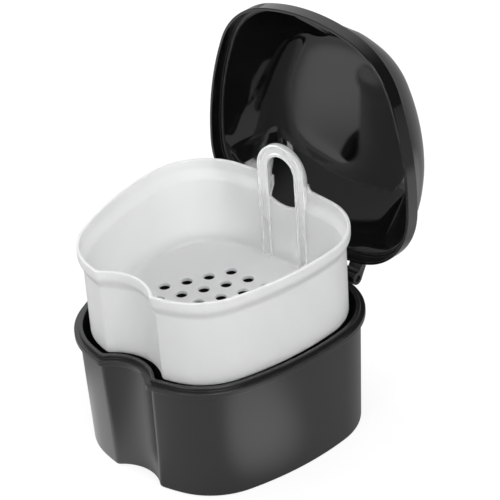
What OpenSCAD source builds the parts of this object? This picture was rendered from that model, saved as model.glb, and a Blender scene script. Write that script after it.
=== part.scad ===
// Denture case: a moulded tub, a domed lid on a two-knuckle hinge, and a lift-out strainer basket.
// Every shell is lofted through rings of one plan outline: four tangent arcs on each side and a
// thumb bay sunk into the front. Seen from above, the front is -Y; the tub rests on z = 0.

/* [Plan outline] */
// Width of the tub wall at its widest place
body_w = 94; // [88:1:102]
// Depth of the tub wall from front to back
body_d = 92.4; // [88:0.2:98]
// How far behind the middle the widest place lies
wide_y = 16; // [10:1:20]
// Plan radius of the front face
front_r = 72; // [62:1:90]
// Plan radius of the long sides
side_r = 117; // [100:1:150]
// Plan radius of the back face
back_r = 200; // [150:5:260]
// Plan radius of the front corners
front_corner_r = 29; // [24:1:34]
// Plan radius of the back corners
back_corner_r = 27; // [22:1:32]

/* [Thumb bay] */
// Width of the bay where it opens in the tub wall
bay_w = 24; // [18:1:30]
// How deep the bay is sunk into the wall
bay_deep = 5.7; // [4:0.1:7]
// Radius that rounds the two edges of the bay
bay_edge_r = 2.2; // [1.4:0.1:3]

/* [Tub] */
// Height of the tub wall up to the underside of its flange
wall_h = 45.1; // [44:0.1:50]
// Wall thickness of the tub
wall_t = 1.5; // [1.2:0.1:2]
// Thickness of the tub floor
floor_t = 1.8; // [1.4:0.1:2.4]
// How far the wall draws in from the flange to the foot
draft = 1.6; // [0.8:0.1:2]
// Rounding of the foot edge
foot_r = 0.8; // [0.4:0.1:1.2]
// How far the flange stands out of the wall
flange_w = 1.8; // [1.6:0.1:2.4]
// Thickness of the flange
flange_t = 2.2; // [1.6:0.1:2.6]
// Height of the collar above the flange
collar_h = 1.3; // [0.8:0.1:1.8]

/* [Lid] */
// Depth of the skirt that closes round the collar
skirt_h = 5.6; // [5:0.1:7]
// Wall thickness of the skirt
skirt_t = 1.15; // [1:0.05:1.25]
// Wall thickness of the dome
lid_t = 1.2; // [1:0.1:1.6]
// Width of the step between the skirt and the dome
step_w = 1.4; // [1:0.1:1.6]
// Height of the dome's side above the skirt
dome_h = 19.9; // [16:0.1:24]
// How far the dome's side draws in on its way up
dome_in = 12.8; // [10:0.1:16]
// How much more the dome draws in at its front and back than at its sides
dome_taper = 1.8; // [1:0.1:2.4]
// Rise of the dome's top over its rounded side
crown_h = 2.5; // [1.5:0.1:4]
// Angle between the open and the closed lid
lid_open = 92.4; // [85:0.1:100]

/* [Basket] */
// Height of the basket without its handle
basket_h = 36; // [32:0.5:38]
// Wall thickness of the basket
basket_t = 1.2; // [1:0.1:1.5]
// How far the wall stands in from the rim band
joggle_w = 1.8; // [1.2:0.1:2.2]
// Height of the rim band
band_h = 3; // [2:0.1:4]
// Height of the slope below the rim band
slope_h = 5.3; // [4:0.1:7]
// How far the basket is lifted out of the tub at rest
lift = 44.5; // [40:0.5:48]
// Diameter of the drain holes
drain_d = 4.4; // [3:0.1:5]
// Distance between neighbouring drain holes
drain_pitch = 8.6; // [7.6:0.1:9.4]
// Rings of drain holes round the middle one
drain_rings = 3; // [1:1:3]

/* [Handle] */
// Width of the handle at the rim
handle_w = 22.5; // [20:0.5:26]
// Height of the handle above the rim
handle_h = 15.5; // [13:0.1:16]
// How far the handle's back stands in from the outside of the rim band
handle_in = 0.9; // [0.8:0.1:1.2]
// Thickness of the handle between its raised edges
handle_t = 2.2; // [1.8:0.1:2.6]
// Width of the finger hole
grip_w = 12.8; // [10:0.2:14]
// How far the finger hole stays below the top of the handle
grip_top = 4.6; // [4:0.1:7]
// How far the finger hole reaches below the rim
grip_deep = 10; // [8:0.1:14]
// Radius that blends the handle into the rim
root_r = 2.4; // [1.6:0.1:4]
// Width of the raised edges along the handle and down its legs
edge_w = 1.3; // [0.8:0.1:1.8]
// Height of the raised edges over the handle's face
edge_t = 0.4; // [0.3:0.1:0.6]

/* [Hinge] */
// Distance of the hinge axis behind the tub wall
hinge_back = 4.9; // [4.7:0.1:6]
// Height of the lid's lower edge over the hinge axis
hinge_drop = 2; // [1.8:0.1:2.4]
// Radius of the hinge knuckles
knuckle_r = 2.6; // [2.2:0.1:2.7]
// Diameter of the hinge pins
pin_d = 2.4; // [1.8:0.1:2.8]
// Distance from the middle to the inner end of a knuckle pair
knuckle_x = 14; // [10:1:20]
// Width of a tub bracket
bracket_w = 6; // [4:0.5:8]
// Width of a lid ear
ear_w = 5.6; // [4:0.2:7]
// Thickness of the ear's arm where it leaves the skirt
ear_t = 2.6; // [2.2:0.1:3.4]
// Depth of the hole left open at the outer end of an ear
pin_recess = 0.8; // [0.3:0.1:1.5]

/* [Clearances] */
// Gap between the collar and the inside of the skirt
collar_gap = 0.35; // [0.3:0.05:0.5]
// Gap between the flange and the closed skirt
lid_gap = 0.5; // [0.4:0.05:0.8]
// Gap between the basket's rim band and the tub wall when seated
rim_gap = 0.35; // [0.3:0.05:0.5]
// Gap between the seated basket and the tub floor
seat_gap = 0.3; // [0.3:0.05:0.6]
// Gap between an ear and its bracket
knuckle_gap = 0.4; // [0.3:0.05:0.6]
// Radial running clearance of a pin in a lid ear
pin_gap = 0.05; // [0.02:0.01:0.08]

/* [Hidden] */
black = [0.07, 0.07, 0.075];
milky = [0.88, 0.89, 0.9, 0.8];

// Centres of the outline's arcs on the right half
front_c = [0, front_r - body_d / 2];
back_c = [0, body_d / 2 - back_r];
side_c = [body_w / 2 - side_r, wide_y];

// Centre of the bay's arc, in front of the wall
bay_r = (pow(bay_w / 2, 2) + pow(bay_deep, 2)) / (2 * bay_deep);
mouth_y = front_c.y - sqrt(pow(front_r, 2) - pow(bay_w / 2, 2));
bay_c = [0, mouth_y + bay_deep - bay_r];

// Steps along the arcs of half an outline
bay_n = 7;
edge_n = 3;
front_n = 5;
corner_n = 8;
side_n = 5;
back_n = 4;

// Heights, from the resting face up
flange_z = wall_h + flange_t;
collar_z = flange_z + collar_h;
skirt_z = flange_z + lid_gap;
ledge_z = skirt_z + skirt_h;
seat_z = floor_t + seat_gap;
hinge_y = body_d / 2 + hinge_back;
hinge_z = skirt_z - hinge_drop;

// Offsets from the outline of the tub wall, outwards positive
skirt_in = collar_gap;
skirt_out = skirt_in + skirt_t;
dome_out = skirt_out - step_w;
bay_follow = 0.8;
band_z = seat_z + basket_h - band_h;
band_off = -wall_t - draft * (1 - band_z / wall_h) - rim_gap;
basket_off = band_off - joggle_w;
basket_draft = 0.25;
handle_y = body_d / 2 + band_off;

// Where two circles meet, on the left of the line from the first centre for side = 1
function meet(c1, r1, c2, r2, side) =
    let (d = norm(c2 - c1), u = (c2 - c1) / d, a = (r1 * r1 - r2 * r2 + d * d) / (2 * d))
    c1 + a * u + side * sqrt(r1 * r1 - a * a) * [-u.y, u.x];

function bearing(v) = atan2(v.y, v.x);

function arc(c, r, from, to, n) =
    [for (i = [0:n]) let (t = from + (to - from) * i / n) c + r * [cos(t), sin(t)]];

function tail(list) = [for (i = [1:len(list) - 1]) list[i]];

// Centres of the corner arcs, tangent inside the arcs on both sides of them
front_corner_c = meet(side_c, side_r - front_corner_r, front_c, front_r - front_corner_r, -1);
back_corner_c = meet(side_c, side_r - back_corner_r, back_c, back_r - back_corner_r, 1);

// Front of the right half: the bay's arc, the rounded edge and what is left of the front arc.
// off moves the outline, bay_off the bay, and share says how much of the bay's depth is left.
function front_half(off, bay_off, share) =
    let (rf = front_r + off, rb = bay_r - bay_off,
         e = meet(front_c, rf - bay_edge_r, bay_c, rb + bay_edge_r, 1),
         bay = arc(bay_c, rb, 90, bearing(e - bay_c), bay_n),
         edge = tail(arc(e, bay_edge_r, bearing(bay_c - e), bearing(e - front_c), edge_n)),
         sunk = concat(bay, edge),
         plain = [for (p = sunk) [p.x, front_c.y - sqrt(rf * rf - p.x * p.x)]],
         mixed = [for (i = [0:len(sunk) - 1]) plain[i] + share * (sunk[i] - plain[i])])
    concat(mixed, tail(arc(front_c, rf, bearing(e - front_c), bearing(front_corner_c - front_c), front_n)));

// Half an outline, from the middle of the front round the right side to the middle of the back
function half_outline(off, bay_off, share) =
    concat(front_half(off, bay_off, share),
           tail(arc(front_corner_c, front_corner_r + off, bearing(front_corner_c - front_c),
                    bearing(front_corner_c - side_c), corner_n)),
           tail(arc(side_c, side_r + off, bearing(front_corner_c - side_c),
                    bearing(back_corner_c - side_c), side_n)),
           tail(arc(back_corner_c, back_corner_r + off, bearing(back_corner_c - side_c),
                    bearing(back_corner_c - back_c), corner_n)),
           tail(arc(back_c, back_r + off, bearing(back_corner_c - back_c), 90, back_n)));

// Whole outline, anticlockwise
function outline(off, bay_off, share = 1) =
    let (h = half_outline(off, bay_off, share), n = len(h))
    concat(h, [for (i = [n - 2:-1:1]) [-h[i].x, h[i].y]]);

function lift_ring(ring, z) = [for (p = ring) [p.x, p.y, z]];

function ring(z, off, bay_off, share = 1) = lift_ring(outline(off, bay_off, share), z);

// Rings of a quarter round of radius r between a wall at offset off and a level face
function quarter(z, off, bay_off, r, from, to, n) =
    [for (i = [0:n]) let (t = from + (to - from) * i / n)
        ring(z + r * sin(t), off + r * cos(t), bay_off + r * cos(t))];

// Closed skin through a list of rings, with a flat face on the first and on the last
module loft(rings) {
    n = len(rings[0]);
    top = len(rings) - 1;
    points = [for (r = rings) for (p = r) p];
    sides = [for (k = [0:top - 1]) for (i = [0:n - 1]) let (a = k * n, b = a + n, j = (i + 1) % n)
        each [[a + i, b + i, b + j], [a + i, b + j, a + j]]];
    caps = [[for (i = [0:n - 1]) i], [for (i = [n - 1:-1:0]) top * n + i]];
    polyhedron(points, concat(sides, caps), convexity = 8);
}

// ---------------------------------------------------------------- tub

// Draft of the wall at a height, as an offset
function drawn_in(z) = -draft * (1 - z / wall_h);

module tub_shell() {
    round_r = 0.35;
    cavity_r = 1.5;
    inside = cavity_r - wall_t - draft;
    loft(concat(
        quarter(foot_r, -draft - foot_r, -foot_r, foot_r, -90, 0, 3),
        [ring(wall_h, 0, 0)],
        [ring(wall_h, flange_w - round_r, flange_w - round_r)],
        [ring(wall_h + round_r, flange_w, flange_w)],
        [ring(flange_z - round_r, flange_w, flange_w)],
        [ring(flange_z, flange_w - round_r, flange_w - round_r)],
        [ring(flange_z, 0, 0)],
        [ring(collar_z - round_r, 0, 0)],
        [ring(collar_z, -round_r, -round_r)],
        [ring(collar_z, round_r - wall_t, round_r - wall_t)],
        [ring(collar_z - round_r, -wall_t, -wall_t)],
        [ring(wall_h, -wall_t, -wall_t)],
        [for (t = [0:30:90]) let (out = -cavity_r * (1 - cos(t)))
            ring(floor_t + cavity_r * (1 - sin(t)), -wall_t - draft + out, -wall_t + out)]
    ));
}

// Bracket that carries the pins, seen from the side: a gusset on the wall, the knuckle and a stop pad
module bracket_side() {
    root_y = body_d / 2 - wall_t - 0.1;
    reach = hinge_z + knuckle_r + 1.1;
    polygon([[root_y, wall_h * 0.84], [root_y, flange_z - 0.4], [hinge_y - knuckle_r - 0.3, flange_z - 0.1],
             [hinge_y - 1, reach], [hinge_y + 1.2, reach], [hinge_y + knuckle_r, hinge_z],
             [hinge_y + 1.2, hinge_z - knuckle_r + 0.3]]);
    translate([hinge_y, hinge_z]) circle(r = knuckle_r, $fn = 48);
}

// Profile in the YZ plane, extruded along X from x, w wide
module along_x(x, w) {
    translate([x, 0, 0]) rotate([90, 0, 90]) linear_extrude(w) children();
}

module pin_bore(x, w, r) {
    translate([x, hinge_y, hinge_z]) rotate([0, 90, 0]) cylinder(r = r, h = w, $fn = 48);
}

module tub() {
    color(black) difference() {
        union() {
            tub_shell();
            for (x = [-knuckle_x - bracket_w, knuckle_x]) along_x(x, bracket_w) bracket_side();
        }
        for (s = [0, 1]) mirror([s, 0, 0]) pin_bore(knuckle_x + 0.5, bracket_w, pin_d / 2);
    }
}

// ---------------------------------------------------------------- lid, drawn closed

// How far the dome has drawn in at a share u of its height
function dome_inset(u) = dome_in * (1 - pow(1 - pow(min(u, 0.9999), 1.3), 1 / 1.3));

// Ring of the dome at a share u of its height: the outline, drawn in, blended with an oval
function dome_ring(u, base_z, height, thick) =
    let (inset = dome_inset(u) + thick,
         flat = outline(dome_out - inset, dome_out - bay_follow * inset, 1 - u),
         mid_y = 6.5,
         blend = 0.47 * pow(u, 1 / 3),
         half_w = body_w / 2 + dome_out - inset,
         front_d = body_d / 2 + mid_y + dome_out - inset,
         back_d = body_d / 2 - mid_y + dome_out - inset)
    [for (p = flat)
        let (t = bearing([p.x, p.y - mid_y]),
             depth = p.y < mid_y ? front_d : back_d,
             oval = [0, mid_y] + [cos(t), sin(t)] / sqrt(pow(cos(t) / half_w, 2) + pow(sin(t) / depth, 2)),
             q = p + blend * (oval - p),
             taper = dome_taper * (q.y < mid_y ? pow(u, 1 / 3) : u) / depth)
        [q.x, q.y - taper * (q.y - mid_y), base_z + height * u]];

// Rings of the crown: the last ring shrunk towards the middle as it rises, steep at first, then flat
function crown_rings(last, rise) =
    let (mid_y = 3)
    [for (c = [0.9, 0.75, 0.45])
        [for (p = last) [p.x * c, mid_y + (p.y - mid_y) * c, p.z + rise * (1 - pow(c, 4))]]];

module lid_shell() {
    round_r = 0.3;
    steps = [0, 0.05, 0.2, 0.4, 0.6, 0.78, 0.91, 1];
    outside = [for (u = steps) dome_ring(u, ledge_z, dome_h, 0)];
    inside = [for (u = steps) dome_ring(u, ledge_z - lid_t, dome_h, lid_t)];
    inner_crown = crown_rings(inside[len(steps) - 1], crown_h);
    loft(concat(
        [for (i = [len(inner_crown) - 1:-1:0]) inner_crown[i]],
        [for (i = [len(inside) - 1:-1:0]) inside[i]],
        [ring(ledge_z - lid_t, skirt_in, 0, 0)],
        [ring(skirt_z, skirt_in, 0, 0)],
        [ring(skirt_z, skirt_out - round_r, 0, 0)],
        [ring(skirt_z + round_r, skirt_out, 0, 0)],
        [ring(ledge_z - round_r, skirt_out, 0, 0)],
        [ring(ledge_z, skirt_out - round_r, 0, 0)],
        outside,
        crown_rings(outside[len(steps) - 1], crown_h)
    ));
}

// Ear of the lid, seen from the side: a thin arm off the skirt's lower edge and the knuckle
module ear_side() {
    root_y = body_d / 2 + skirt_in - 1.2;
    arm_z = skirt_z + ear_t;
    polygon([[root_y, skirt_z + 0.1], [hinge_y - knuckle_r - 1.1, skirt_z + 0.1],
             [hinge_y - knuckle_r, hinge_z], [hinge_y, hinge_z - 0.2],
             [hinge_y + knuckle_r * 0.9, hinge_z + knuckle_r * 0.4],
             [hinge_y + knuckle_r * 0.4, hinge_z + knuckle_r * 0.9],
             [hinge_y - knuckle_r - 0.6, arm_z], [root_y, arm_z + 0.8]]);
    translate([hinge_y, hinge_z]) circle(r = knuckle_r, $fn = 48);
}

module lid_closed() {
    ear_x = knuckle_x + bracket_w + knuckle_gap;
    difference() {
        union() {
            lid_shell();
            for (x = [-ear_x - ear_w, ear_x]) along_x(x, ear_w) ear_side();
        }
        for (x = [-ear_x - ear_w - 1, ear_x - 1]) pin_bore(x, ear_w + 2, pin_d / 2 + pin_gap);
    }
}

module lid() {
    color(black) translate([0, hinge_y, hinge_z]) rotate([-lid_open, 0, 0])
        translate([0, -hinge_y, -hinge_z]) lid_closed();
}

// ---------------------------------------------------------------- strainer basket, drawn seated

module basket_shell() {
    foot = 1;
    lip_r = 0.35;
    cavity_r = 2;
    wall_off = basket_off - basket_draft;
    top_z = basket_h;
    band_low = basket_h - band_h;
    slope_low = band_low - slope_h;
    inner = -basket_t;
    loft(concat(
        quarter(foot, wall_off - foot, wall_off - foot, foot, -90, 0, 2),
        [for (t = [0:0.2:1]) let (out = basket_off + joggle_w * (1 - cos(180 * t)) / 2)
            ring(slope_low + slope_h * t, out, out)],
        [ring(top_z - lip_r, band_off, band_off)],
        [ring(top_z, band_off - lip_r, band_off - lip_r)],
        [ring(top_z, band_off + inner + lip_r, band_off + inner + lip_r)],
        [ring(top_z - lip_r, band_off + inner, band_off + inner)],
        [for (t = [1:-0.2:0]) let (out = basket_off + inner + joggle_w * (1 - cos(180 * t)) / 2)
            ring(slope_low + slope_h * t, out, out)],
        [for (t = [0:30:90]) let (out = inner - cavity_r * (1 - cos(t)))
            ring(basket_t + cavity_r * (1 - sin(t)), wall_off + out, wall_off + out)]
    ));
}

// Front view of an arch: half round above, straight sides down to foot below the rim
module arch(half_w, top, foot) {
    translate([0, top - half_w]) intersection() {
        circle(r = half_w, $fn = 64);
        translate([-half_w, -0.1]) square([half_w * 2, half_w + 0.1]);
    }
    translate([-half_w, -foot]) square([half_w * 2, foot + top - half_w]);
}

// Front view of the handle: an arch whose sides flare into the rim
module handle_front() {
    arch_r = handle_w / 2;
    arch(arch_r, handle_h, band_h + slope_h * 0.45);
    for (s = [0, 1]) mirror([s, 0]) difference() {
        translate([arch_r - 0.5, -0.6]) square([root_r + 0.5, root_r + 0.6]);
        translate([arch_r + root_r, root_r]) circle(r = root_r, $fn = 48);
    }
}

// Front view of the handle's legs, down to the basket's floor
module leg_front() {
    foot = basket_h - basket_t + 0.3;
    for (s = [0, 1]) mirror([s, 0])
        translate([grip_w / 2, -foot]) square([(handle_w - grip_w) / 2, foot - 2]);
}

// Front view of the sunk face between the raised edges of the handle and its legs
module handle_groove() {
    difference() {
        arch(handle_w / 2 - edge_w, handle_h - edge_w, basket_h);
        arch(grip_w / 2 + edge_w, handle_h - grip_top + edge_w, basket_h + 1);
    }
}

// Front view of the finger hole: round above, straight down through the rim, shallow round below
module grip_hole() {
    r = grip_w / 2;
    translate([0, handle_h - grip_top - r]) circle(r = r, $fn = 48);
    translate([-r, -grip_deep + 2]) square([grip_w, grip_deep - 2 + handle_h - grip_top - r]);
    intersection() {
        translate([-r, -grip_deep]) square([grip_w, 2.5]);
        translate([0, grip_w - grip_deep]) circle(r = grip_w, $fn = 96);
    }
}

// Front view, extruded from y_back towards the front
module from_back(y_back, depth) {
    translate([0, y_back, basket_h]) rotate([90, 0, 0]) linear_extrude(depth) children();
}

// Middles of the drain holes, on a hexagon grid
function drain_places() =
    [for (i = [-drain_rings:drain_rings]) for (j = [-drain_rings:drain_rings])
        if (abs(i + j) <= drain_rings) drain_pitch * [i + j / 2, j * sqrt(3) / 2]];

// Sheet that follows the back wall, from the offset off inwards
module back_sheet(off, thick) {
    translate([0, back_c.y, -1]) difference() {
        cylinder(r = back_r + off, h = basket_h + handle_h + 2, $fn = 360);
        translate([0, 0, -1]) cylinder(r = back_r + off - thick, h = basket_h + handle_h + 4, $fn = 360);
    }
}

// Handle and legs: one sheet with a common face, thinner where it runs down the inside of the wall
module strap() {
    face = band_off - handle_in - handle_t;
    leg_off = basket_off - 0.3;
    difference() {
        union() {
            intersection() {
                from_back(handle_y + 1, 8) handle_front();
                back_sheet(band_off - handle_in, handle_t + edge_t);
            }
            intersection() {
                from_back(handle_y + 1, 8) leg_front();
                back_sheet(leg_off, leg_off - face + edge_t);
            }
        }
        intersection() {
            from_back(handle_y + 1, 8) handle_groove();
            back_sheet(face, 3);
        }
    }
}

module basket_seated() {
    difference() {
        union() {
            basket_shell();
            strap();
        }
        from_back(handle_y + 1, 8) grip_hole();
        for (p = drain_places()) translate([p.x, p.y + 2, -1]) cylinder(d = drain_d, h = 4, $fn = 24);
    }
}

module strainer_basket() {
    color(milky) translate([0, 0, seat_z + lift]) basket_seated();
}

// ---------------------------------------------------------------- hinge pins

module hinge_pin() {
    pin_bore(knuckle_x + 0.5, bracket_w + knuckle_gap + ear_w - pin_recess - 0.5, pin_d / 2);
}

module hinge_pin_left() {
    color(black) mirror([1, 0, 0]) hinge_pin();
}

module hinge_pin_right() {
    color(black) hinge_pin();
}

tub();
lid();
strainer_basket();
hinge_pin_left();
hinge_pin_right();
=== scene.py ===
import math
import bpy
import numpy as np
from mathutils import Matrix, Vector


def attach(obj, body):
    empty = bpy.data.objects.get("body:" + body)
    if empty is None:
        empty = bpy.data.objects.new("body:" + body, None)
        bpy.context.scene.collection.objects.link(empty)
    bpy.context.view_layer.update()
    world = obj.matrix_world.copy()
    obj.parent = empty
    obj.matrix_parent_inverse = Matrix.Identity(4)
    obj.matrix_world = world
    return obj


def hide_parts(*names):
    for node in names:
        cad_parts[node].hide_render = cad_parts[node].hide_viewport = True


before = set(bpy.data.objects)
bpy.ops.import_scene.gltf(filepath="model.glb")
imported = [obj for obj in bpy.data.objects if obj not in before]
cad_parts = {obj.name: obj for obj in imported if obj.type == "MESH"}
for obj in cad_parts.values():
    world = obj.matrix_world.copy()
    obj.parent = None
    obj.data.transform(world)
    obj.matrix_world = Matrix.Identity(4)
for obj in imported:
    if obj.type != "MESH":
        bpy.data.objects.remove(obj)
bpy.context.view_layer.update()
mm = 0.001
print("frame loaded:", sorted(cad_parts))

# plan outline, shared by tub, lid and basket (millimetres)

plan = {
    "width": 94.0, "depth": 92.4, "wideY": 16.0,
    "frontR": 72.0, "sideR": 117.0, "backR": 200.0, "frontCornerR": 29.0, "backCornerR": 27.0,
    "bayWidth": 24.0, "bayDeep": 5.7, "bayEdgeR": 2.2,
    "middleY": 3.0, "flatIn": 4.0,  # flat ends begin flatIn from the wall and shrink towards middleY
    "steps": {"bay": 12, "edge": 6, "front": 10, "corner": 18, "side": 14, "back": 10},
}


def meet(c1, r1, c2, r2, side):
    # the point at distance r1 from c1 and r2 from c2, left of the line between them for side = 1
    d = np.linalg.norm(c2 - c1, axis=-1, keepdims=True)
    u = (c2 - c1) / d
    a = (r1 ** 2 - r2 ** 2 + d ** 2) / (2 * d)
    normal = np.stack([-u[..., 1], u[..., 0]], axis=-1)
    return c1 + a * u + side * np.sqrt(r1 ** 2 - a ** 2) * normal


def bearing(v):
    # angle of each vector, counted from +X
    return np.arctan2(v[..., 1:2], v[..., 0:1])


def arc(centre, radius, start, end, n):
    # n steps of a circle: centre + radius * (cos t, sin t), one row for each radius
    t = start + (end - start) * np.linspace(0, 1, n + 1)
    return centre[..., None, :] + radius[..., None] * np.stack([np.cos(t), np.sin(t)], axis=-1)


frontC = np.array([0.0, plan["frontR"] - plan["depth"] / 2])
backC = np.array([0.0, plan["depth"] / 2 - plan["backR"]])
sideC = np.array([plan["width"] / 2 - plan["sideR"], plan["wideY"]])
frontCornerC = meet(sideC, plan["sideR"] - plan["frontCornerR"],
                    frontC, plan["frontR"] - plan["frontCornerR"], -1)
backCornerC = meet(sideC, plan["sideR"] - plan["backCornerR"],
                   backC, plan["backR"] - plan["backCornerR"], 1)
bayR = ((plan["bayWidth"] / 2) ** 2 + plan["bayDeep"] ** 2) / (2 * plan["bayDeep"])
mouthY = frontC[1] - math.sqrt(plan["frontR"] ** 2 - (plan["bayWidth"] / 2) ** 2)
bayC = np.array([0.0, mouthY + plan["bayDeep"] - bayR])


def outline(off, bayOff, share):
    # tangent arcs round the plan, each moved out by off; the bay's arc moves by bayOff,
    # and share fades the bay (1 = full depth, 0 = the front arc runs straight on). One row per entry of off.
    off, bayOff, share = [np.atleast_1d(np.asarray(v, float))[:, None]
                          for v in np.broadcast_arrays(off, bayOff, share)]
    s = plan["steps"]
    rows = len(off)
    at = lambda c: np.repeat(np.asarray(c)[None, :], rows, axis=0)
    rFront = plan["frontR"] + off
    rBay = bayR - bayOff
    edgeC = meet(at(frontC), rFront - plan["bayEdgeR"], at(bayC), rBay + plan["bayEdgeR"], 1)
    toBay = bearing(edgeC - bayC)
    toFront = bearing(edgeC - frontC)
    bay = arc(at(bayC), rBay, np.full_like(off, math.pi / 2), toBay, s["bay"])
    edge = arc(edgeC, np.full_like(off, plan["bayEdgeR"]), bearing(bayC - edgeC), toFront, s["edge"])[:, 1:]
    sunk = np.concatenate([bay, edge], axis=1)
    even = sunk[:, -1:, 0] * np.linspace(0, 1, sunk.shape[1])
    plain = np.stack([even, frontC[1] - np.sqrt(rFront ** 2 - even ** 2)], axis=-1)
    front = plain + share[..., None] * (sunk - plain)
    turns = [float(bearing(frontCornerC - frontC)[0]), float(bearing(frontCornerC - sideC)[0]),
             float(bearing(backCornerC - sideC)[0]), float(bearing(backCornerC - backC)[0]), math.pi / 2]
    same = lambda t: np.full_like(off, t)
    half = np.concatenate([
        front,
        arc(at(frontC), rFront, toFront, same(turns[0]), s["front"])[:, 1:],
        arc(at(frontCornerC), plan["frontCornerR"] + off, same(turns[0]), same(turns[1]), s["corner"])[:, 1:],
        arc(at(sideC), plan["sideR"] + off, same(turns[1]), same(turns[2]), s["side"])[:, 1:],
        arc(at(backCornerC), plan["backCornerR"] + off, same(turns[2]), same(turns[3]), s["corner"])[:, 1:],
        arc(at(backC), plan["backR"] + off, same(turns[3]), same(turns[4]), s["back"])[:, 1:],
    ], axis=1)
    mirrored = half[:, -2:0:-1] * np.array([-1.0, 1.0])
    return np.concatenate([half, mirrored], axis=1)


def rounded(corners, n=4, most=0.45, endGap=0.12, endShare=0.2):
    # a profile through (offset, height, radius) corners: each corner p becomes the curve
    # (1 - t)^2 start + 2 t (1 - t) p + t^2 end. It leaves both sides at radius / tan(half the angle) from p,
    # at most the share most of a side, and extra points near its ends keep the shading of straight runs flat
    pts = np.array([c[:2] for c in corners], float)
    out = [pts[0]]
    for k in range(1, len(corners) - 1):
        p, r = pts[k], corners[k][2]
        a, b = pts[k - 1] - p, pts[k + 1] - p
        la, lb = np.linalg.norm(a), np.linalg.norm(b)
        a, b = a / la, b / lb
        half = math.acos(max(-1.0, min(1.0, float(a @ b)))) / 2
        cut = min(r / math.tan(half), most * la, most * lb)
        t = np.linspace(0, 1, n + 1)[:, None]
        start, end = p + a * cut, p + b * cut
        bend = (1 - t) ** 2 * start + 2 * t * (1 - t) * p + t ** 2 * end
        out += [start + a * min(endGap, endShare * la)] + list(bend) + [end + b * min(endGap, endShare * lb)]
    out.append(pts[-1])
    return np.array(out)


def stack(profile, draftFor=None, share=1.0):
    # rings of the outline, one for each (offset, height) of the profile
    off, z = profile[:, 0], profile[:, 1]
    bayOff = off + (draftFor(z) if draftFor else 0.0)
    plane = outline(off, bayOff, share)
    return np.concatenate([plane, np.repeat(z[:, None], plane.shape[1], axis=1)[..., None]], axis=2)


def capRows(ring, n=7, widest=0.93, smallest=0.03):
    # flat rings middle + c * (ring - middle), while c falls from widest to smallest
    c = np.linspace(widest, smallest, n)[:, None, None]
    mid = np.array([0.0, plan["middleY"], 0.0])
    flat = (ring - mid) * np.array([1.0, 1.0, 0.0])
    return mid + flat * c + ring * np.array([0.0, 0.0, 1.0])


def closedMesh(name, rows):
    # a closed skin over rows of points: quads between neighbouring rows, one fan on each end
    v, u = rows.shape[:2]
    pts = np.concatenate([rows.reshape(-1, 3), rows[:1].mean(axis=1), rows[-1:].mean(axis=1)]) * mm
    i = np.arange(u)
    j = (i + 1) % u
    base = (np.arange(v - 1) * u)[:, None]
    quads = np.stack([base + i, base + j, base + u + j, base + u + i], axis=-1).reshape(-1, 4)
    first, last = v * u, v * u + 1
    fans = np.concatenate([np.stack([np.full(u, first), j, i], axis=-1),
                           np.stack([(v - 1) * u + i, (v - 1) * u + j, np.full(u, last)], axis=-1)])
    return meshFrom(name, pts, quads, fans)


def meshFrom(name, pts, quads, tris=None):
    # a smooth mesh of the quads, then the triangles, straight from the arrays
    mesh = bpy.data.meshes.new(name)
    tris = np.zeros((0, 3), int) if tris is None else tris
    loops = np.concatenate([quads.ravel(), tris.ravel()]).astype(np.int32)
    sizes = np.concatenate([np.full(len(quads), 4), np.full(len(tris), 3)])
    mesh.vertices.add(len(pts))
    mesh.vertices.foreach_set("co", np.ascontiguousarray(pts, dtype=np.float32).ravel())
    mesh.loops.add(len(loops))
    mesh.loops.foreach_set("vertex_index", loops)
    mesh.polygons.add(len(sizes))
    mesh.polygons.foreach_set("loop_start", np.concatenate([[0], np.cumsum(sizes)[:-1]]).astype(np.int32))
    mesh.polygons.foreach_set("loop_total", sizes.astype(np.int32))
    mesh.update(calc_edges=True)
    mesh.validate()
    mesh.polygons.foreach_set("use_smooth", np.ones(len(mesh.polygons), dtype=bool))
    return mesh


def addPiece(mesh, material, body):
    # the piece's object stays at the origin, with its place in its mesh
    obj = bpy.data.objects.new(mesh.name, mesh)
    bpy.context.scene.collection.objects.link(obj)
    mesh.materials.append(material)
    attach(obj, body)
    return obj


# materials

finishes = {
    "tub": {"colour": (0.008, 0.008, 0.009), "roughness": 0.32, "grain": 0.12, "waviness": 0.4,
            "specular": 0.8, "relief": 0.06},
    "lid": {"colour": (0.005, 0.005, 0.0055), "roughness": 0.035, "grain": 0.2, "waviness": 0.1,
            "specular": 0.6, "relief": 0.012},
    "pin": {"colour": (0.014, 0.014, 0.015), "roughness": 0.45, "grain": 0.2, "waviness": 0.5,
            "specular": 0.5, "relief": 0.06},
    "milky": {"colour": (0.94, 0.945, 0.95), "roughness": 0.42, "grain": 0.1, "waviness": 0.4,
              "specular": 0.5, "relief": 0.06, "clear": 0.38},
    "handle": {"colour": (0.94, 0.945, 0.95), "roughness": 0.36, "grain": 0.1, "waviness": 0.4,
               "specular": 0.5, "relief": 0.06, "clear": 0.5},
}
texture = {"flowScale": 26.0, "flowDetail": 3.0, "grainScale": 2600.0, "grainDetail": 2.0,
           "tone": 0.08, "depth": 0.0004}
translucent = {"bend": 1.45, "inside": 0.7, "spread": (1.0, 1.0, 1.0), "reach": 0.003}


def noiseOf(nodes, links, coord, scale, detail):
    # noise laid on the piece's Object coordinates
    tex = nodes.new("ShaderNodeTexNoise")
    tex.inputs["Scale"].default_value = scale
    tex.inputs["Detail"].default_value = detail
    links.new(coord.outputs["Object"], tex.inputs["Vector"])
    return tex.outputs["Fac"]


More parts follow.
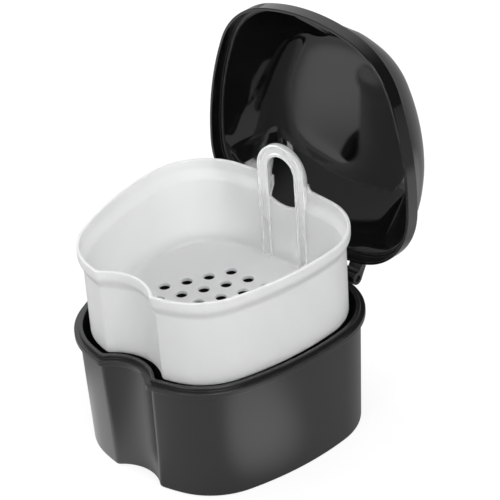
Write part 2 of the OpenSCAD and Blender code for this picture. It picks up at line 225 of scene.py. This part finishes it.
def mouldedPlastic(kind):
    # moulded plastic: slow flow waves change the gloss and the tone a little, and the bump is the
    # waves times waviness plus a fine grain
    f = finishes[kind]
    mat = bpy.data.materials.new(kind + " plastic")
    mat.use_nodes = True
    nodes, links = mat.node_tree.nodes, mat.node_tree.links
    shader = nodes["Principled BSDF"]
    shader.inputs["Specular IOR Level"].default_value = f["specular"]
    if "clear" in f:
        shader.inputs["Transmission Weight"].default_value = f["clear"]
        shader.inputs["IOR"].default_value = translucent["bend"]
        shader.inputs["Subsurface Weight"].default_value = translucent["inside"]
        shader.inputs["Subsurface Radius"].default_value = translucent["spread"]
        shader.inputs["Subsurface Scale"].default_value = translucent["reach"]
    coord = nodes.new("ShaderNodeTexCoord")
    flow = noiseOf(nodes, links, coord, texture["flowScale"], texture["flowDetail"])
    fine = noiseOf(nodes, links, coord, texture["grainScale"], texture["grainDetail"])
    gloss = nodes.new("ShaderNodeMapRange")
    gloss.inputs["To Min"].default_value = f["roughness"] * (1 - f["grain"])
    gloss.inputs["To Max"].default_value = f["roughness"] * (1 + f["grain"])
    tint = nodes.new("ShaderNodeValToRGB")
    for end, tone in zip(tint.color_ramp.elements, (1 - texture["tone"], 1 + texture["tone"])):
        end.color = [min(1.0, c * tone) for c in f["colour"]] + [1]
    height = nodes.new("ShaderNodeMath")
    height.operation = "MULTIPLY_ADD"
    height.inputs[1].default_value = f["waviness"]
    bump = nodes.new("ShaderNodeBump")
    bump.inputs["Strength"].default_value = f["relief"]
    bump.inputs["Distance"].default_value = texture["depth"]
    links.new(flow, gloss.inputs["Value"])
    links.new(flow, tint.inputs["Fac"])
    links.new(flow, height.inputs[0])
    links.new(fine, height.inputs[2])
    links.new(height.outputs["Value"], bump.inputs["Height"])
    links.new(gloss.outputs["Result"], shader.inputs["Roughness"])
    links.new(tint.outputs["Color"], shader.inputs["Base Color"])
    links.new(bump.outputs["Normal"], shader.inputs["Normal"])
    return mat


tubPlastic = mouldedPlastic("tub")
lidPlastic = mouldedPlastic("lid")
pinPlastic = mouldedPlastic("pin")
milkyPlastic = mouldedPlastic("milky")
handlePlastic = mouldedPlastic("handle")
print("materials made")

# tub

tub = {
    "wallHeight": 45.1, "wall": 1.5, "floor": 1.8, "draft": 1.6, "footR": 0.8,
    "flangeWidth": 1.8, "flange": 2.2, "collar": 1.3, "edgeR": 0.35, "cavityR": 1.5,
    "cornerR": 0.25, "bendR": 2.0,  # corners beside flange and collar, and where the inside's draft starts
}
flangeZ = tub["wallHeight"] + tub["flange"]
collarZ = flangeZ + tub["collar"]


def bayStaysUpright(z):
    # the bay has no draft, so the outline's draft at that height is given back to it
    return tub["draft"] * np.clip(1 - z / tub["wallHeight"], 0, 1)


def tubRows():
    # one profile goes up the outside, over flange and collar and down the inside, carried round the outline
    d, t, e, flat = tub["draft"], tub["wall"], tub["edgeR"], plan["flatIn"]
    profile = rounded([
        (-d - flat, 0, 0), (-d, 0, tub["footR"]), (0, tub["wallHeight"], tub["cornerR"]),
        (tub["flangeWidth"], tub["wallHeight"], e), (tub["flangeWidth"], flangeZ, e),
        (0, flangeZ, tub["cornerR"]), (0, collarZ, e), (-t, collarZ, e), (-t, tub["wallHeight"], tub["bendR"]),
        (-t - d, tub["floor"], tub["cavityR"]), (-t - d - flat, tub["floor"], 0),
    ])
    rows = stack(profile, bayStaysUpright)
    return np.concatenate([capRows(rows[0])[::-1], rows, capRows(rows[-1])])


tubShell = addPiece(closedMesh("tubShell", tubRows()), tubPlastic, "tub")

# hinge

lidGap = 0.5  # between the flange and the closed skirt
skirtZ = flangeZ + lidGap
hinge = {
    "y": plan["depth"] / 2 + 4.9, "z": skirtZ - 2.0, "knuckleR": 2.6, "pinR": 1.2, "pinGap": 0.05,
    "innerX": 14.0, "bracketWidth": 6.0, "bracketBoreR": 0.4, "gap": 0.4, "earWidth": 5.6,
    "angles": 120, "edgeR": 0.25, "rimBand": 0.4, "sharp": 38,
    "pad": 1.1, "padFront": 1.2, "padBack": 1.0, "gussetFrom": 0.84,  # stop pad and gusset of a bracket
}


def reachAbout(polygon, radius, angles, tiny=1e-9, slack=1e-6):
    # distance from the hinge axis to the outline at each angle: the farther of a circle and a polygon's side
    p = np.asarray(polygon, float) - [hinge["y"], hinge["z"]]
    q = np.roll(p, -1, axis=0)
    d = np.stack([np.cos(angles), np.sin(angles)], axis=-1)[:, None, :]
    side = (q - p)[None]
    cross = lambda a, b: a[..., 0] * b[..., 1] - a[..., 1] * b[..., 0]
    det = cross(d, side)
    det = np.where(np.abs(det) < tiny, tiny, det)
    far = cross(p[None], side) / det
    along = cross(p[None], d) / det
    far = np.where((along >= -slack) & (along <= 1 + slack) & (far > 0), far, 0)
    return np.maximum(far.max(axis=1), radius)


def knucklePlate(name, polygon, boreR, x0, x1, material, body):
    # a plate across the hinge axis: (x, y + r cos t, z + r sin t), where r is the bore's radius or the reach
    # at the angle t, carried from x0 to x1 with rounded rims and closed through the bore
    t = np.linspace(0, 2 * math.pi, hinge["angles"], endpoint=False)
    reach = reachAbout(polygon, hinge["knuckleR"], t)
    e, band = hinge["edgeR"], hinge["rimBand"]
    dip = e * 0.3  # where an edge's small round passes its middle
    steps = [(0, 0, x0), (0, band, x0), (1, -e, x0), (1, -dip, x0 + dip), (1, 0, x0 + e),
             (1, 0, x1 - e), (1, -dip, x1 - dip), (1, -e, x1), (0, band, x1), (0, 0, x1)]
    rows = []
    for outer, add, x in steps:
        r = np.where(outer, reach, boreR) + add
        y, z = hinge["y"] + r * np.cos(t), hinge["z"] + r * np.sin(t)
        rows.append(np.stack([np.full_like(t, x), y, z], axis=-1))
    rows = np.array(rows)
    v, u = rows.shape[:2]
    i = np.arange(u)
    base = (np.arange(v) * u)[:, None]
    up = (base + u) % (v * u)
    quads = np.stack([base + i, base + (i + 1) % u, up + (i + 1) % u, up + i], axis=-1).reshape(-1, 4)
    mesh = meshFrom(name, rows.reshape(-1, 3) * mm, quads[:, ::-1])
    mesh.set_sharp_from_angle(angle=math.radians(hinge["sharp"]))
    addPiece(mesh, material, body)


def bracketPolygon():
    # side view of a bracket as (y, z) corners: a gusset on the wall, the knuckle's cover and a stop pad
    y, z, r = hinge["y"], hinge["z"], hinge["knuckleR"]
    root, front, top = plan["depth"] / 2 - tub["wall"] - 0.1, y + hinge["padFront"], z + r + hinge["pad"]
    return [(root, tub["wallHeight"] * hinge["gussetFrom"]), (front, z - r + 0.3), (y + r, z), (front, top),
            (y - hinge["padBack"], top), (y - r - 0.3, flangeZ - 0.1), (root, flangeZ - 0.4)]


for side, tag in ((-1, "Left"), (1, "Right")):
    a, b = side * hinge["innerX"], side * (hinge["innerX"] + hinge["bracketWidth"])
    knucklePlate("tubBracket" + tag, bracketPolygon(), hinge["bracketBoreR"], min(a, b), max(a, b),
                 tubPlastic, "tub")
print("tub made")

# lid: worked out closed, then turned open about the hinge axis

lid = {
    "skirt": 5.6, "skirtWall": 1.15, "wall": 1.2, "step": 1.4, "gap": 0.35,
    "domeHeight": 19.9, "domeIn": 12.8, "bend": 1.3, "taper": 1.8, "oval": 0.47, "ovalY": 6.5,
    "crown": 2.2, "crownPower": 8, "open": 92.4, "rows": 72, "softness": 9, "ear": 2.6, "bayFollow": 0.8,
    "rimR": 0.3, "ledgeR": 0.5, "underIn": 0.6, "ledgeIn": 0.9, "rings": 34, "crowding": 1.4,
}
ledgeZ = skirtZ + lid["skirt"]
skirtIn = lid["gap"]
skirtOut = skirtIn + lid["skirtWall"]
domeOut = skirtOut - lid["step"]


def domeRows(u, thick, baseZ, last=0.9999):
    # at a share u of the height the outline is drawn in by domeIn * (1 - (1 - u^n)^(1/n)), mixed with an oval
    # of the same width and depth, and pressed together from front and back; the bay fades out as 1 - u
    n = lid["bend"]
    inset = lid["domeIn"] * (1 - (1 - np.minimum(u, last) ** n) ** (1 / n)) + thick
    flat = outline(domeOut - inset, domeOut - lid["bayFollow"] * inset, 1 - u)
    x, y = flat[..., 0], flat[..., 1] - lid["ovalY"]
    t = np.arctan2(y, x)
    halfW = (plan["width"] / 2 + domeOut - inset)[:, None]
    front = (plan["depth"] / 2 + lid["ovalY"] + domeOut - inset)[:, None]
    back = (plan["depth"] / 2 - lid["ovalY"] + domeOut - inset)[:, None]
    depth = np.where(y < 0, front, back)
    reach = 1 / np.sqrt((np.cos(t) / halfW) ** 2 + (np.sin(t) / depth) ** 2)
    blend = (lid["oval"] * u ** (1 / 3))[:, None]
    x = x + blend * (reach * np.cos(t) - x)
    y = y + blend * (reach * np.sin(t) - y)
    y = y * (1 - lid["taper"] * np.where(y < 0, (u ** (1 / 3))[:, None], u[:, None]) / depth)
    z = np.repeat((baseZ + lid["domeHeight"] * u)[:, None], x.shape[1], axis=1)
    return np.stack([x, y + lid["ovalY"], z], axis=-1)


def crownRows(ring, n=14, widest=0.97, smallest=0.02):
    # the last ring shrinks to its middle while it rises by crown * (1 - c^power), almost flat in the middle
    c = np.linspace(widest, smallest, n)[:, None, None]
    mid = np.array([0.0, plan["middleY"], 0.0])
    flat = (ring - mid) * np.array([1.0, 1.0, 0.0])
    rise = ring[:, 2][None, :, None] + lid["crown"] * (1 - c ** lid["crownPower"])
    return mid + flat * c + rise * np.array([0.0, 0.0, 1.0])


def smoothed(rows, n, passes):
    # the rows are spread evenly along the profile, then each moves to the weighted mean of itself
    # and its two neighbours (1 : 2 : 1), as often as passes says, while the end rows stay
    step = np.linalg.norm(np.diff(rows, axis=0), axis=2).mean(axis=1)
    run = np.concatenate([[0], np.cumsum(step)])
    at = np.interp(np.linspace(0, run[-1], n), run, np.arange(len(rows)))
    low = np.minimum(at.astype(int), len(rows) - 2)
    part = (at - low)[:, None, None]
    rows = rows[low] * (1 - part) + rows[low + 1] * part
    for _ in range(passes):
        rows = np.concatenate([rows[:1], 0.25 * rows[:-2] + 0.5 * rows[1:-1] + 0.25 * rows[2:], rows[-1:]])
    return rows


def turnedOpen(rows, degrees):
    # turned about the hinge axis, which runs along X: (y cos a - z sin a, y sin a + z cos a)
    a = math.radians(degrees)
    y, z = rows[..., 1] - hinge["y"], rows[..., 2] - hinge["z"]
    return np.stack([rows[..., 0], hinge["y"] + y * math.cos(a) - z * math.sin(a),
                     hinge["z"] + y * math.sin(a) + z * math.cos(a)], axis=-1)


def lidRows():
    # the inner dome from the crown down, the skirt, then the outer dome from the ledge up to the crown
    u = np.sin(np.linspace(0, math.pi / 2, lid["rings"])) ** lid["crowding"]
    inner = domeRows(u, lid["wall"], ledgeZ - lid["wall"])
    outer = domeRows(u, 0.0, ledgeZ)
    inner = smoothed(np.concatenate([inner, crownRows(inner[-1])]), lid["rows"], lid["softness"])[::-1]
    outer = smoothed(np.concatenate([outer, crownRows(outer[-1])]), lid["rows"], lid["softness"])
    e, under = lid["rimR"], ledgeZ - lid["wall"]
    skirt = rounded([
        (skirtIn - lid["underIn"], under, 0), (skirtIn, under, e), (skirtIn, skirtZ, e), (skirtOut, skirtZ, e),
        (skirtOut, ledgeZ, lid["ledgeR"]), (skirtOut - lid["ledgeIn"], ledgeZ, 0),
    ])
    return np.concatenate([inner, stack(skirt, share=0.0), outer])


lidShell = addPiece(closedMesh("lidShell", turnedOpen(lidRows(), -lid["open"])),
                    lidPlastic, "lid")


def earPolygon():
    # side view of an ear as (y, z) corners, laid out closed and turned open:
    # an arm off the skirt's lower edge and the cover of its knuckle
    y, z, r = hinge["y"], hinge["z"], hinge["knuckleR"]
    root = plan["depth"] / 2 + skirtIn - 0.45
    low, arm = skirtZ + 0.1, skirtZ + lid["ear"]
    closed = np.array([(root, low), (y - r - 1.1, low), (y - r, z), (y, z - 0.2), (y + r * 0.9, z + r * 0.4),
                       (y + r * 0.4, z + r * 0.9), (y - r - 0.6, arm), (root, arm + 0.7)])
    flat = np.concatenate([np.zeros((len(closed), 1)), closed], axis=1)
    return turnedOpen(flat, -lid["open"])[:, 1:]


for side, tag in ((-1, "Left"), (1, "Right")):
    a = side * (hinge["innerX"] + hinge["bracketWidth"] + hinge["gap"])
    b = a + side * hinge["earWidth"]
    knucklePlate("lidEar" + tag, earPolygon(), hinge["pinR"] + hinge["pinGap"], min(a, b), max(a, b),
                 lidPlastic, "lid")
print("lid made")

# basket: worked out seated, then lifted

basket = {
    "height": 36.0, "wall": 1.2, "joggle": 1.8, "band": 3.0, "slope": 5.3, "draft": 0.25, "rimGap": 0.35,
    "seat": tub["floor"] + 0.3, "lift": 44.5, "footR": 1.0, "cavityR": 2.0, "rimR": 0.4, "sharp": 40,
    "drain": 4.4, "drainPitch": 8.6, "drainRings": 3, "drainY": 2.0, "drainFrom": -2.0, "drainTo": 4.0,
    "handleWidth": 22.5, "handleHeight": 15.5, "handleIn": 0.9, "handle": 2.2, "handleSharp": 50,
    "gripWidth": 12.8, "gripTop": 4.6, "gripDeep": 10.0, "rootR": 2.4,
    "edgeWidth": 1.3, "edge": 0.4, "edgeR": 0.22, "edgeFoot": 0.1, "edgeFlat": 0.3,  # the raised edge
    "legSunk": 0.5, "legFoot": 0.3, "legOverlap": 0.03,  # how far a leg is sunk into wall, floor and the cut
}
bandZ = basket["seat"] + basket["height"] - basket["band"]
bandOff = -tub["wall"] - tub["draft"] * (1 - bandZ / tub["wallHeight"]) - basket["rimGap"]
wallOff = bandOff - basket["joggle"]
basketZ = basket["seat"] + basket["lift"]
lifted = np.array([0.0, 0.0, basketZ])


def joggle(n=16):
    # share of the S-curve between wall and rim band: height t and offset (1 - cos(pi t)) / 2
    t = np.linspace(0, 1, n)
    return t, (1 - np.cos(math.pi * t)) / 2


def sideProfile(inwards):
    # (offset, height) points up one side of the basket's wall, from the slope's foot to the rim band
    b = basket
    t, s = joggle()
    low = b["height"] - b["band"] - b["slope"]
    return np.stack([wallOff + b["joggle"] * s - inwards, low + b["slope"] * t], axis=-1)


def basketRows():
    # one profile goes up the outside, over the rim and down the inside, carried round the outline
    b, t, h, flat = basket, basket["wall"], basket["height"], plan["flatIn"]
    low = wallOff - b["draft"]
    outside, inside = sideProfile(0.0), sideProfile(t)[::-1]
    foot = rounded([(low - flat, 0, 0), (low, 0, b["footR"]), tuple(outside[0]) + (0,)], 6)
    rim = rounded([tuple(outside[-1]) + (0,), (bandOff, h, b["rimR"]), (bandOff - t, h, b["rimR"]),
                   tuple(inside[0]) + (0,)], 6)
    floor = rounded([tuple(inside[-1]) + (0,), (low - t, t, b["cavityR"]), (low - t - flat, t, 0)], 8)
    profile = np.concatenate([foot, outside[1:-1], rim, inside[1:-1], floor])
    rows = stack(profile)
    return np.concatenate([capRows(rows[0])[::-1], rows, capRows(rows[-1])])


def hexPlaces(rings, pitch, y):
    # places of a hexagon: pitch * (i + j / 2, j * root 3 / 2), moved by y, for i, j and i + j up to rings
    i, j = np.meshgrid(np.arange(-rings, rings + 1), np.arange(-rings, rings + 1))
    keep = np.abs(i + j) <= rings
    i, j = i[keep], j[keep]
    return np.stack([pitch * (i + j / 2), pitch * j * math.sqrt(3) / 2 + y], axis=-1)


def drainCutter(n=20):
    # upright rods through the floor, place + drain / 2 * (cos t, sin t) at two heights, with a fan on each end
    places = hexPlaces(basket["drainRings"], basket["drainPitch"], basket["drainY"])
    levels = (basket["drainFrom"], basket["drainTo"])
    t = np.linspace(0, 2 * math.pi, n, endpoint=False)
    ring = np.stack([np.cos(t), np.sin(t)], axis=-1) * basket["drain"] / 2
    flat = places[:, None, :] + ring[None]
    pts = np.concatenate([np.concatenate([flat, np.full(flat.shape[:2] + (1,), z)], axis=2) for z in levels],
                         axis=1).reshape(-1, 3)
    i = np.arange(n)
    j = (i + 1) % n
    base = (np.arange(len(places)) * 2 * n)[:, None]
    quads = np.stack([base + i, base + j, base + n + j, base + n + i], axis=-1).reshape(-1, 4)
    centreLow = len(pts) + np.arange(len(places))
    centreHigh = centreLow + len(places)
    pts = np.concatenate([pts] + [np.c_[places, np.full(len(places), z)] for z in levels])
    tri = lambda c, a, b: np.stack(np.broadcast_arrays(c[:, None], a, b), axis=-1).reshape(-1, 3)
    tris = np.concatenate([tri(centreLow, base + j, base + i), tri(centreHigh, base + n + i, base + n + j)])
    return meshFrom("drainCutter", (pts + lifted) * mm, quads, tris)


def gripCutter(n=24):
    # a block through the back wall: the half circle r * (cos t, sin t) above, straight sides, and below
    # a shallow arc that rises by big - root(big^2 - x^2)
    r, h = basket["gripWidth"] / 2, basket["height"]
    topC = h + basket["handleHeight"] - basket["gripTop"] - r
    up = np.linspace(0, math.pi, n)
    top = np.stack([r * np.cos(up), topC + r * np.sin(up)], axis=-1)
    x = np.linspace(-r, r, n)
    big = basket["gripWidth"]
    low = np.stack([x, h - basket["gripDeep"] + big - np.sqrt(big ** 2 - x ** 2)], axis=-1)
    face = np.concatenate([top, low])
    u = len(face)
    near, far = plan["depth"] / 2 - 8, plan["depth"] / 2 + 2  # from inside the handle to outside the wall
    pts = np.concatenate([np.c_[face[:, 0], np.full(u, y), face[:, 1]] for y in (near, far)])
    mid = face.mean(axis=0)
    pts = np.concatenate([pts, [[mid[0], near, mid[1]], [mid[0], far, mid[1]]]])
    i = np.arange(u)
    j = (i + 1) % u
    quads = np.stack([i, i + u, j + u, j], axis=-1)
    tris = np.concatenate([np.stack([np.full(u, 2 * u), i, j], axis=-1),
                           np.stack([np.full(u, 2 * u + 1), j + u, i + u], axis=-1)])
    return meshFrom("gripCutter", (pts + lifted) * mm, quads, tris)


def cutAway(mesh, cutters):
    # the mesh with the cutters' volume taken out of it, as a plain mesh without modifiers
    name = mesh.name
    holder = bpy.data.objects.new(name + "Cut", mesh)
    bpy.context.scene.collection.objects.link(holder)
    tools = []
    for cutter in cutters:
        tool = bpy.data.objects.new(cutter.name, cutter)
        bpy.context.scene.collection.objects.link(tool)
        step = holder.modifiers.new(cutter.name, "BOOLEAN")
        step.operation, step.solver, step.object = "DIFFERENCE", "EXACT", tool
        tools.append(tool)
    bpy.context.view_layer.update()
    result = bpy.data.meshes.new_from_object(holder.evaluated_get(bpy.context.evaluated_depsgraph_get()))
    for obj in [holder] + tools:
        old = obj.data
        bpy.data.objects.remove(obj)
        bpy.data.meshes.remove(old)
    result.name = name  # free again now that the uncut mesh is gone
    result.polygons.foreach_set("use_smooth", np.ones(len(result.polygons), dtype=bool))
    result.set_sharp_from_angle(angle=math.radians(basket["sharp"]))
    return result


shellMesh = cutAway(closedMesh("basketShell", basketRows() + lifted), [drainCutter(), gripCutter()])
basketShell = addPiece(shellMesh, milkyPlastic, "strainer_basket")


def backSheet(x, off):
    # y of the back arc moved out by off: its centre + root((backR + off)^2 - x^2)
    return backC[1] + np.sqrt((plan["backR"] + off) ** 2 - x ** 2)


def handleRows(n=40):
    # a strap carried from the floor up one leg, over the arch (halfWidth cos t, halfWidth sin t) and down
    # the other leg. Its inner edge runs round the finger hole, and its section has a raised rib on both edges.
    b, h = basket, basket["height"]
    r, big = b["gripWidth"] / 2, b["handleWidth"] / 2
    wall = sideProfile(b["wall"])
    low = np.stack([np.linspace(wallOff - b["draft"] - b["wall"], wall[0, 0], 12),
                    np.linspace(b["wall"] - b["legFoot"], wall[0, 1], 12)], axis=-1)
    band = [[bandOff - b["wall"], h - below] for below in (1.6, 0.8)]
    up = np.concatenate([low[:-1], wall, band])
    front = bandOff - b["handleIn"] - b["handle"]
    leg = len(up)
    turn = np.linspace(math.pi, math.pi / 2, n)
    rise = np.linspace(0.1, 1, 5)[:, None]

    def halfArch(halfWidth, top):
        foot = np.array([-halfWidth, h])
        spring = np.array([-halfWidth, h + top - halfWidth])
        arch = np.stack([halfWidth * np.cos(turn), h + top - halfWidth + halfWidth * np.sin(turn)], axis=-1)
        return np.concatenate([foot + (spring - foot) * rise, arch[1:]])

    outer = np.concatenate([np.stack([np.full(leg, -big), up[:, 1]], axis=-1),
                            halfArch(big, b["handleHeight"])])
    inner = np.concatenate([np.stack([np.full(leg, -r - b["legOverlap"]), up[:, 1]], axis=-1),
                            halfArch(r, b["handleHeight"] - b["gripTop"])])
    both = lambda p, flip: np.concatenate([p, p[-2::-1] * flip])
    face = np.full(len(outer), front)
    back = np.concatenate([np.minimum(up[:, 0] + b["legSunk"], bandOff - b["handleIn"]),
                           np.full(len(outer) - leg, bandOff - b["handleIn"])])
    outer, inner = both(outer, [-1, 1]), both(inner, [-1, 1])
    face, back = both(face, 1), both(back, 1)
    width = np.linalg.norm(outer - inner, axis=1)[:, None]
    e, rib, w = b["edgeR"], b["edge"], b["edgeWidth"]
    foot, flat = w + b["edgeFoot"], w + b["edgeFlat"]
    dip = 0.3 * e  # where an edge's small round passes its middle
    section = [(0, 0, back, -e), (0, 0, face, e - rib), (0, dip, face, dip - rib), (0, e, face, -rib),
               (0, w - e, face, -rib), (0, w - dip, face, dip - rib), (0, foot, face, 0),
               (0, flat, face, 0), (1, -flat, face, 0), (1, -foot, face, 0),
               (1, dip - w, face, dip - rib), (1, e - w, face, -rib), (1, -e, face, -rib),
               (1, -dip, face, dip - rib), (1, 0, face, e - rib), (1, 0, back, -e),
               (1, -dip, back, -dip), (1, -e, back, 0), (0, e, back, 0), (0, dip, back, -dip)]
    rows = []
    for outside, step, off, more in section:
        p = inner + (outer - inner) * (outside + step / width)
        rows.append(np.stack([p[:, 0], backSheet(p[:, 0], off + more), p[:, 1]], axis=-1))
    return np.array(rows).transpose(1, 0, 2)


def rootRows(side, n=16, e=0.3, sunk=0.8):
    # a small fillet between the handle's side and the rim: the arc big + R - R cos t, R - R sin t.
    # It is sunk into both, has edges rounded by e, and stays a hair inside the rim's two faces.
    b, hair = basket, 0.06
    big, radius = b["handleWidth"] / 2, b["rootR"]
    t = np.linspace(0, math.pi / 2, n)
    x = np.concatenate([[big - sunk], big + radius - radius * np.cos(t)])
    z = np.concatenate([[radius], radius - radius * np.sin(t)]) - hair / 2
    out, inn = bandOff - hair, bandOff - b["wall"] + hair
    dip = 0.3 * e
    buried = np.full_like(z, -sunk)
    section = [(buried, out), (buried, inn), (z - e, inn), (z - dip, inn + dip),
               (z, inn + e), (z, out - e), (z - dip, out - dip), (z - e, out)]
    rows = np.array([np.stack([side * x, backSheet(x, off), b["height"] + level], axis=-1)
                     for level, off in section])
    return rows.transpose(1, 0, 2)[::side]


for name, rows in (("basketHandle", handleRows()), ("basketHandleRootLeft", rootRows(-1)),
                   ("basketHandleRootRight", rootRows(1))):
    mesh = closedMesh(name, rows + lifted)
    mesh.set_sharp_from_angle(angle=math.radians(basket["handleSharp"]))
    addPiece(mesh, handlePlastic, "strainer_basket")
print("basket made")

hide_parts("tub")
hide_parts("lid")
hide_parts("strainer_basket")
for name in ("hinge_pin_left", "hinge_pin_right"):
    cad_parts[name].data.materials.clear()
    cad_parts[name].data.materials.append(pinPlastic)

# camera

view = {
    "azimuth": 44.31, "elevation": 32.58, "roll": -4.10, "distance": 1057.66, "moveX": 10.89, "moveZ": 62.84,
    "sensor": 36.0, "focal": 2841.98, "frame": 500,  # focal and frame in pixels, the rest in degrees and mm
}


def placeCamera():
    # distance back along the line of sight, then moveX to the right and moveZ up in the camera's own frame
    az, el, roll = [math.radians(view[k]) for k in ("azimuth", "elevation", "roll")]
    back = Vector((math.sin(az) * math.cos(el), -math.cos(az) * math.cos(el), math.sin(el)))
    right = Vector((math.cos(az), math.sin(az), 0.0))
    up = back.cross(right)
    rightR = right * math.cos(roll) + up * math.sin(roll)
    upR = up * math.cos(roll) - right * math.sin(roll)
    place = (rightR * view["moveX"] + upR * view["moveZ"] + back * view["distance"]) * mm
    data = bpy.data.cameras.new("camera")
    data.sensor_width = view["sensor"]
    data.lens = view["focal"] * view["sensor"] / view["frame"]
    data.clip_end = 10.0
    cam = bpy.data.objects.new("camera", data)
    bpy.context.scene.collection.objects.link(cam)
    cam.matrix_world = Matrix.Translation(place) @ Matrix((rightR, upR, back)).transposed().to_4x4()
    bpy.context.scene.camera = cam


placeCamera()

# floor, world and lamps

studio = {
    "floorSize": 6.0, "floorDrop": 0.0002, "floorGlow": 0.78, "floorColour": 0.24, "ambient": 0.75,
    "roomLeft": 0.9, "roomRight": 0.05, "leftToRight": (-0.4, 0.5),
    "roomFront": 0.4, "frontToBack": (-0.2, 0.5),
    # painted shade: in reflections the floor's glow falls from table at the front to the back level over this
    # range of y
    "table": 0.3, "paintedShadeBack": 0.1, "paintedShadeFade": (0.03, 0.15),
    # x, y, radius and strength of each painted pool of light in the floor's glow
    "paintedPools": [(-0.2, -0.12, 0.17, 1.0), (0.08, -0.022, 0.045, 1.4),
              (-0.035, -0.05, 0.055, 1.2), (0.14, 0.2, 0.15, 0.8)],
    "paintedPoolCore": 0.4,
    # place, target, size and power of each lamp, and whether the gloss shows it: the side lamp,
    # which fills the left of the basket, would leave a patch in the lid
    "lamps": {"key": ((1.15, -0.65, 1.35), (0, 0, 0.06), (0.9, 0.9), 16, True),
              "fill": ((0.3, -1.3, 0.5), (0, 0, 0.05), (0.3, 0.8), 3, True),
              "side": ((-1.3, -0.2, 0.9), (0, 0, 0.06), (0.7, 0.9), 11, False)},
}


def mapped(nodes, links, value, fromRange, toRange):
    # a smooth step from one level to another
    node = nodes.new("ShaderNodeMapRange")
    node.interpolation_type = "SMOOTHSTEP"
    for key, number in zip(("From Min", "From Max", "To Min", "To Max"), fromRange + toRange):
        node.inputs[key].default_value = number
    links.new(value, node.inputs["Value"])
    return node.outputs["Result"]


def joined(nodes, links, operation, a, b):
    # one step of arithmetic on two sockets
    node = nodes.new("ShaderNodeMath")
    node.operation = operation
    links.new(a, node.inputs[0])
    links.new(b, node.inputs[1])
    return node.outputs[0]


def raySeen(nodes, links, glossShare):
    # 1 for rays from the camera and through clear plastic, and glossShare for glossy reflections
    path = nodes.new("ShaderNodeLightPath")
    gloss = joined(nodes, links, "MULTIPLY", path.outputs["Is Glossy Ray"], glossShare)
    first = joined(nodes, links, "MAXIMUM", path.outputs["Is Camera Ray"], gloss)
    return joined(nodes, links, "MAXIMUM", first, path.outputs["Is Transmission Ray"])


def makeFloor():
    s = studio["floorSize"] / 2
    pts = np.array([[-s, -s, 0], [s, -s, 0], [s, s, 0], [-s, s, 0]]) - [0, 0, studio["floorDrop"]]
    mat = bpy.data.materials.new("floor")
    mat.use_nodes = True
    nodes, links = mat.node_tree.nodes, mat.node_tree.links
    nodes.remove(nodes["Principled BSDF"])
    matt = nodes.new("ShaderNodeBsdfDiffuse")
    c = studio["floorColour"]
    matt.inputs["Color"].default_value = (c, c, c, 1)
    glow = nodes.new("ShaderNodeEmission")
    # in reflections the white table's glow is painted: it is brightest in a few soft painted pools of light,
    # and painted shade fades it towards the back
    coord = nodes.new("ShaderNodeTexCoord")
    axes = nodes.new("ShaderNodeSeparateXYZ")
    links.new(coord.outputs["Object"], axes.inputs["Vector"])
    table = (studio["table"], studio["paintedShadeBack"])
    share = mapped(nodes, links, axes.outputs["Y"], studio["paintedShadeFade"], table)
    for x, y, radius, peak in studio["paintedPools"]:
        away = nodes.new("ShaderNodeVectorMath")
        away.operation = "DISTANCE"
        away.inputs[1].default_value = (x, y, 0)
        links.new(coord.outputs["Object"], away.inputs[0])
        # a painted pool of light in the glow, at its peak in the core and gone at the radius
        paintedPool = mapped(nodes, links, away.outputs["Value"], (studio["paintedPoolCore"] * radius, radius), (peak, 0.0))
        share = joined(nodes, links, "MAXIMUM", share, paintedPool)
    level = nodes.new("ShaderNodeMath")
    level.operation = "MULTIPLY"
    level.inputs[1].default_value = studio["floorGlow"]
    links.new(raySeen(nodes, links, share), level.inputs[0])
    links.new(level.outputs[0], glow.inputs["Strength"])
    both = nodes.new("ShaderNodeAddShader")
    links.new(matt.outputs[0], both.inputs[0])
    links.new(glow.outputs[0], both.inputs[1])
    links.new(both.outputs[0], nodes["Material Output"].inputs["Surface"])
    floor = bpy.data.objects.new("floor", meshFrom("floor", pts, np.array([[0, 1, 2, 3]])))
    floor.data.materials.append(mat)
    bpy.context.scene.collection.objects.link(floor)


def makeWorld():
    world = bpy.data.worlds.new("studio")
    world.use_nodes = True
    nodes, links = world.node_tree.nodes, world.node_tree.links
    # in reflections the room is lightest at the back left and dark at the right,
    # and matt surfaces see an even ambient light
    coord = nodes.new("ShaderNodeTexCoord")
    axes = nodes.new("ShaderNodeSeparateXYZ")
    links.new(coord.outputs["Generated"], axes.inputs["Vector"])
    sides = (studio["roomLeft"], studio["roomRight"])
    across = mapped(nodes, links, axes.outputs["X"], studio["leftToRight"], sides)
    along = mapped(nodes, links, axes.outputs["Y"], studio["frontToBack"], (studio["roomFront"], 1.0))
    seen = raySeen(nodes, links, joined(nodes, links, "MULTIPLY", across, along))
    path = nodes.new("ShaderNodeLightPath")
    even = nodes.new("ShaderNodeMapRange")
    even.inputs["To Min"].default_value = studio["ambient"]
    even.inputs["To Max"].default_value = 0.0
    links.new(path.outputs["Is Glossy Ray"], even.inputs["Value"])
    strength = joined(nodes, links, "MAXIMUM", seen, even.outputs["Result"])
    links.new(strength, nodes["Background"].inputs["Strength"])
    nodes["Background"].inputs["Color"].default_value = (1, 1, 1, 1)
    bpy.context.scene.world = world


def softLamp(name, place, target, size, power, inGloss):
    # a rectangular lamp turned towards its target
    data = bpy.data.lights.new(name, "AREA")
    data.shape = "RECTANGLE"
    data.size, data.size_y = size
    data.energy = power
    lamp = bpy.data.objects.new(name, data)
    bpy.context.scene.collection.objects.link(lamp)
    lamp.location = place
    lamp.rotation_euler = (Vector(target) - Vector(place)).to_track_quat("-Z", "Y").to_euler()
    lamp.visible_glossy = inGloss


makeFloor()
makeWorld()
for name, setup in studio["lamps"].items():
    softLamp(name, *setup)

bpy.context.scene.view_settings.view_transform = "Standard"
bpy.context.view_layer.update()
print("scene ready")
